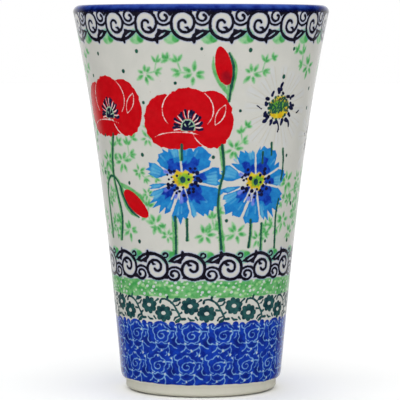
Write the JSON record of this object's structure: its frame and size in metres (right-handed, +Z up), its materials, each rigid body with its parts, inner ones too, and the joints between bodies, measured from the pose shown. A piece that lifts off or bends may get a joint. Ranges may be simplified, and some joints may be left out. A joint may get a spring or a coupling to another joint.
{
  "type": "stoneware tumbler",
  "caption": "Tall flared handle-less stoneware drinking tumbler with a rolled lip, turned foot ring and stamped folk flower decoration.",
  "frame": {"origin": "centre of the foot ring, on the surface the tumbler stands on", "axes": "+Z up along the axis of turning, -Y towards the front of the decoration, +X to its right"},
  "size_m": [0.101, 0.101, 0.152],
  "materials": {
    "bare_clay": "unglazed buff-white fired clay, matt and finely sanded, with faint turning lines",
    "decorated_glaze": "glossy clear glaze over cream clay with stamped and brushed cobalt, red, green, yellow and sky blue flowers",
    "cobalt_glaze": "glossy brushed cobalt blue that breaks lighter on the crown of the lip",
    "liner_glaze": "glossy clear glaze over cream clay, plain",
    "base_coat_glaze": "thin glossy glaze in the recess under the base, plain"
  },
  "bodies": {
    "root": {"stoneware_body": "bare_clay", "outer_glaze": "decorated_glaze", "lip_glaze": "cobalt_glaze", "inner_glaze": "liner_glaze", "base_glaze": "base_coat_glaze"}
  },
  "joints": []
}
